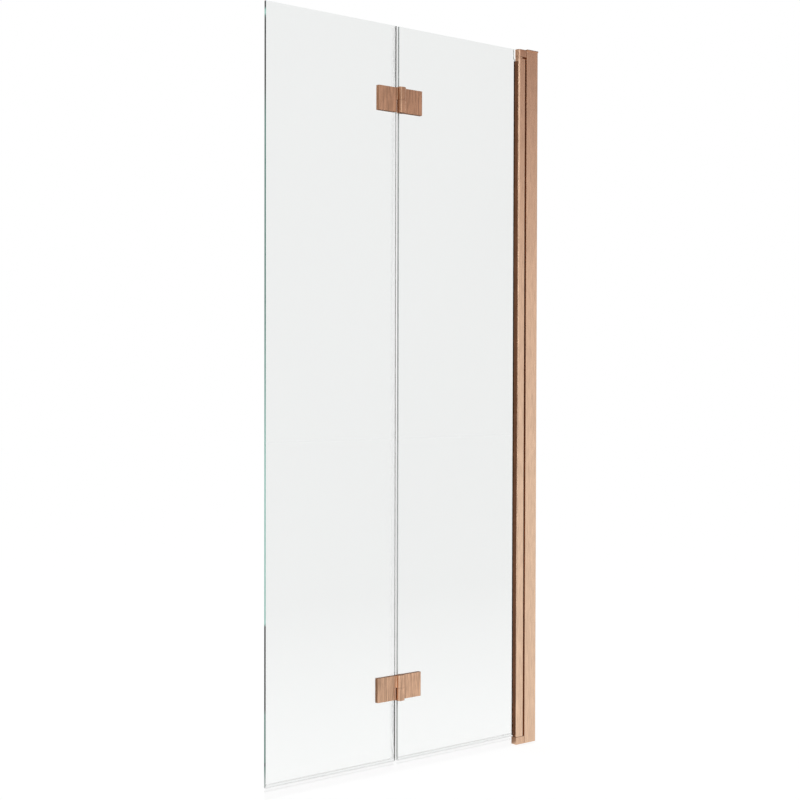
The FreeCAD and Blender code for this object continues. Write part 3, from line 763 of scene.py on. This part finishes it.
class BATHSCREEN_OT_glass(Operator):
    """Inner and outer glass panes with ground edges"""

    bl_idname = "bath_screen.glass"
    bl_label = "Glass Panes"

    def execute(self, context):
        finish = context.scene.bath_screen.glass
        faces = clear_glass("pane_face", finish)
        free = free_edge("pane_free_edge_painted_reflections", finish)
        # Painted light: tone running from pale at the foot to dimmer at the top
        painted_lit_edges = polished_edge("pane_edge_painted_light", finish.painted_pale_edge, finish.edge_mist)
        # Painted shade: a near black edge at the fold
        fold = polished_edge("pane_fold_edge_painted_shade", finish.painted_dark_fold_edge, finish.painted_dark_fold_edge)
        rims = ground_rim("pane_rims", finish)
        pane("inner_glass", "inner_pane", faces, painted_lit_edges, painted_lit_edges, rims)
        pane("outer_glass", "outer_pane", faces, free, fold, rims)
        return {"FINISHED"}


class BATHSCREEN_OT_seals(Operator):
    """Clear drip seals and fold seals"""

    bl_idname = "bath_screen.seals"
    bl_label = "Clear Seals"

    def execute(self, context):
        finish = context.scene.bath_screen.seal
        # Painted reflections: lines of skin along the drip seal's fin, foot and bead
        lines = painted_line_stops(FIN_PAINTED_LINE, finish.drip_painted_faint_line)
        lines += painted_line_stops(FOOT_PAINTED_LINE, finish.drip_painted_line) + painted_line_stops(BEAD_PAINTED_LINE, finish.drip_painted_line)
        drip = clear_seal("drip_seal_plastic", finish, finish.drip_haze, finish.drip_rim, lines)
        fold = clear_seal("fold_seal_plastic", finish, finish.fold_haze, finish.fold_rim)
        for name in nodes_in("clear_seal"):
            dress([name], fold if "fold" in name else drip)
        return {"FINISHED"}


class BATHSCREEN_OT_fittings(Operator):
    """Glazing rubber, hinge pads, fixing sleeves, bearings, pins and screws"""

    bl_idname = "bath_screen.fittings"
    bl_label = "Small Fittings"

    def execute(self, context):
        finish = context.scene.bath_screen.fitting
        # Partly painted shade: the rubber's brown copies the shaded copper beside the pivot profile
        rubber = speckled(
            "glazing_rubber_and_painted_shade", finish.gasket, finish, roughness=0.75, shade=0.3, specular=0.1
        )
        dress(nodes_in("dark_gasket"), rubber)
        pad = speckled("pad_rubber", finish.pad, finish, roughness=0.7, shade=0.2)
        for name in nodes_in("leaf_pad"):
            set_back_pad(name, finish.pad_gap, pad)
        sleeve = speckled("sleeve_plastic", finish.sleeve, finish, roughness=0.45, shade=0.12)
        dress(nodes_in("fixing_sleeve"), sleeve)
        bearing = speckled("bearing_plastic", finish.plastic, finish, roughness=0.45, shade=0.15)
        dress(nodes_in("bearing_plastic"), bearing)
        dress(nodes_in("steel"), turned_steel("turned_steel", finish.steel, shade=0.2))
        return {"FINISHED"}


# Studio

def sheet(name, outline, material):
    """Stage sheet between a row of foot points and a row of head points."""
    foot, head = outline
    count = len(foot)
    faces = [(step, step + 1, count + step + 1, count + step) for step in range(count - 1)]
    mesh = bpy.data.meshes.new(name)
    mesh.from_pydata([*foot, *head], [], faces)
    mesh.materials.append(material)
    piece = bpy.data.objects.new(name, mesh)
    bpy.context.scene.collection.objects.link(piece)
    return piece


def floor_outline(reach):
    """Near and far corners of the floor."""
    return [[(-reach, y, FLOOR_Z), (reach, y, FLOOR_Z)] for y in (-reach, reach)]


def floor_material(studio):
    """Pale floor that shows white and keeps shadows."""
    material, tree, output = empty_material("studio_floor")
    lit = add_node(tree, "ShaderNodeBsdfDiffuse", {"Color": opaque(studio.floor_tone)})
    glow = add_node(tree, "ShaderNodeEmission", {"Strength": studio.floor_glow})
    rest_of_white = (1 - studio.floor_glow) / studio.fill
    keeps = add_node(tree, "ShaderNodeBsdfDiffuse", {"Color": opaque([rest_of_white] * 3)})
    white = add_node(tree, "ShaderNodeAddShader")
    tree.links.new(glow.outputs["Emission"], white.inputs[0])
    tree.links.new(keeps.outputs["BSDF"], white.inputs[1])
    show(tree, mixed(tree, seen_directly(tree), lit, white), output)
    return material


def show_in_mirrors(tree, card, output):
    """Let a card show only where something mirrors it, so that it isn't seen through the glass."""
    unseen = add_node(tree, "ShaderNodeBsdfTransparent")
    path = add_node(tree, "ShaderNodeLightPath")
    mirrored = combine(tree, "MINIMUM", path.outputs["Glossy Depth"], 1.0)
    show(tree, mixed(tree, mirrored, unseen, card), output)


def card_light(tree, factor, stops, strength=1.0):
    """Light of a card, with colours along a factor."""
    light = add_node(tree, "ShaderNodeEmission", {"Strength": strength})
    tree.links.new(ramp(tree, factor, stops), light.inputs["Color"])
    return light


def front_card_material(studio):
    """Card that fades upwards: to dark as the glass mirrors it, to a warm grey as the copper does."""
    material, tree, output = empty_material("front_card")
    fade = height_share(tree, studio.card_fade)
    in_glass = card_light(tree, fade, [(0.0, WHITE), (1.0, studio.glass_dark)])
    tones = (WHITE, WHITE, studio.copper_pale, studio.copper_dim)
    in_copper = card_light(tree, height_share(tree, COPPER_FADE_TOP), list(zip(COPPER_FADE, tones)))
    axes = own_axes(tree)
    from_edge = blend(tree, (axes["X"], 1.0), (axes["Z"], -EDGE_LEAN))
    levels = level_ramp(tree, remap(tree, from_edge, EDGE_SPAN, (0.0, 1.0)), EDGE_LEVELS)
    tree.links.new(combine(tree, "MULTIPLY", levels, studio.strip_light), in_copper.inputs["Strength"])
    path = add_node(tree, "ShaderNodeLightPath")
    show_in_mirrors(tree, mixed(tree, path.outputs["Is Singular Ray"], in_copper, in_glass), output)
    return material


def plain_card_material(name, foot_colour, head_colour, strength=1.0):
    """Card for the copper to mirror, with one colour at the floor and one high up."""
    material, tree, output = empty_material(name)
    stops = [(0.0, foot_colour), (1.0, head_colour)]
    show_in_mirrors(tree, card_light(tree, height_share(tree, cad_high.z), stops, strength), output)
    return material


def mirror_card(name, outline, material):
    """Stage sheet that shows only in reflections."""
    card = sheet(name, outline, material)
    card.visible_camera = False
    card.visible_diffuse = False
    card.visible_shadow = False


def add_cards(studio):
    """Cards in front, at the side, overhead and behind, which the copper and the glass mirror."""
    mirror_card("front_card", FRONT_CARD, front_card_material(studio))
    strip = plain_card_material("strip_card", WHITE, WHITE, studio.strip_light)
    mirror_card("strip_card", STRIP_CARD, strip)
    side = plain_card_material("side_card", studio.side_low, studio.side_dim)
    mirror_card("side_card", SIDE_CARD, side)
    for name, outline in DARK_CARDS.items():
        mirror_card(name, outline, plain_card_material(name, studio.dark_side, studio.dark_side))


def studio_world(studio):
    """Even light all round, shown as white."""
    world = bpy.data.worlds.new("studio")
    world.use_nodes = True
    tree = world.node_tree
    tree.nodes.clear()
    output = add_node(tree, "ShaderNodeOutputWorld")
    even = add_node(tree, "ShaderNodeBackground", {"Color": opaque(WHITE), "Strength": studio.fill})
    white = add_node(tree, "ShaderNodeBackground", {"Color": opaque(WHITE), "Strength": 1.0})
    show(tree, mixed(tree, seen_directly(tree), even, white), output)
    return world


def add_softbox(name, studio):
    """Square lamp that faces the middle of the screen."""
    lamp = bpy.data.lights.new(name, "AREA")
    lamp.shape = "SQUARE"
    lamp.size = studio.key_size
    lamp.energy = studio.key_power
    holder = bpy.data.objects.new(name, lamp)
    holder.location = studio.key_place
    holder.rotation_mode = "QUATERNION"
    holder.rotation_quaternion = (SCREEN_MIDDLE - Vector(studio.key_place)).to_track_quat("-Z", "Y")
    bpy.context.scene.collection.objects.link(holder)


def studio_camera(studio):
    """Camera at the photographed viewing angle."""
    data = bpy.data.cameras.new("camera")
    data.sensor_width = SENSOR_WIDTH
    data.lens = studio.camera_lens
    data.clip_start, data.clip_end = CLIP_RANGE
    camera = bpy.data.objects.new("camera", data)
    bpy.context.scene.collection.objects.link(camera)
    aim = Matrix.Rotation(-studio.camera_yaw, 4, "Z")
    aim = aim @ Matrix.Rotation(math.pi / 2 + studio.camera_pitch, 4, "X")
    aim = aim @ Matrix.Rotation(studio.camera_roll, 4, "Z")
    camera.matrix_world = Matrix.Translation(studio.camera_place) @ aim
    return camera


class BATHSCREEN_OT_studio(Operator):
    """Floor, cards for the copper and the glass to mirror, soft lamp, white surroundings and camera"""

    bl_idname = "bath_screen.studio"
    bl_label = "Studio"

    def execute(self, context):
        scene = context.scene
        studio = scene.bath_screen.studio
        sheet("floor", floor_outline(studio.floor_reach), floor_material(studio))
        add_cards(studio)
        add_softbox("key_softbox", studio)
        scene.world = studio_world(studio)
        scene.camera = studio_camera(studio)
        scene.view_settings.view_transform = "Standard"
        return {"FINISHED"}


class BATHSCREEN_PT_panel(Panel):
    """Sidebar panel with the screen's settings and its build steps"""

    bl_idname = "BATHSCREEN_PT_panel"
    bl_label = "Folding Bath Screen"
    bl_space_type = "VIEW_3D"
    bl_region_type = "UI"
    bl_category = "Bath Screen"

    def draw(self, context):
        layout = self.layout
        settings = context.scene.bath_screen
        for group in ("copper", "glass", "seal", "fitting", "studio"):
            box = layout.box()
            values = getattr(settings, group)
            box.label(text=settings.bl_rna.properties[group].name)
            for name in values.__annotations__:
                box.prop(values, name)
        for step in STEPS:
            layout.operator(step.bl_idname)


STEPS = (
    BATHSCREEN_OT_profiles,
    BATHSCREEN_OT_blocks,
    BATHSCREEN_OT_hinges,
    BATHSCREEN_OT_glass,
    BATHSCREEN_OT_seals,
    BATHSCREEN_OT_fittings,
    BATHSCREEN_OT_studio,
)
GROUPS = (CopperFinish, GlassFinish, SealFinish, FittingFinish, StudioSetup, BathScreenSettings)
CLASSES = (*GROUPS, *STEPS, BATHSCREEN_PT_panel)


def register():
    for cls in CLASSES:
        bpy.utils.register_class(cls)
    bpy.types.Scene.bath_screen = PointerProperty(type=BathScreenSettings)


def unregister():
    del bpy.types.Scene.bath_screen
    for cls in reversed(CLASSES):
        bpy.utils.unregister_class(cls)


def main():
    register()
    bpy.ops.bath_screen.profiles()
    bpy.ops.bath_screen.blocks()
    bpy.ops.bath_screen.hinges()
    bpy.ops.bath_screen.glass()
    bpy.ops.bath_screen.seals()
    bpy.ops.bath_screen.fittings()
    bpy.ops.bath_screen.studio()


if __name__ == "__main__":
    main()
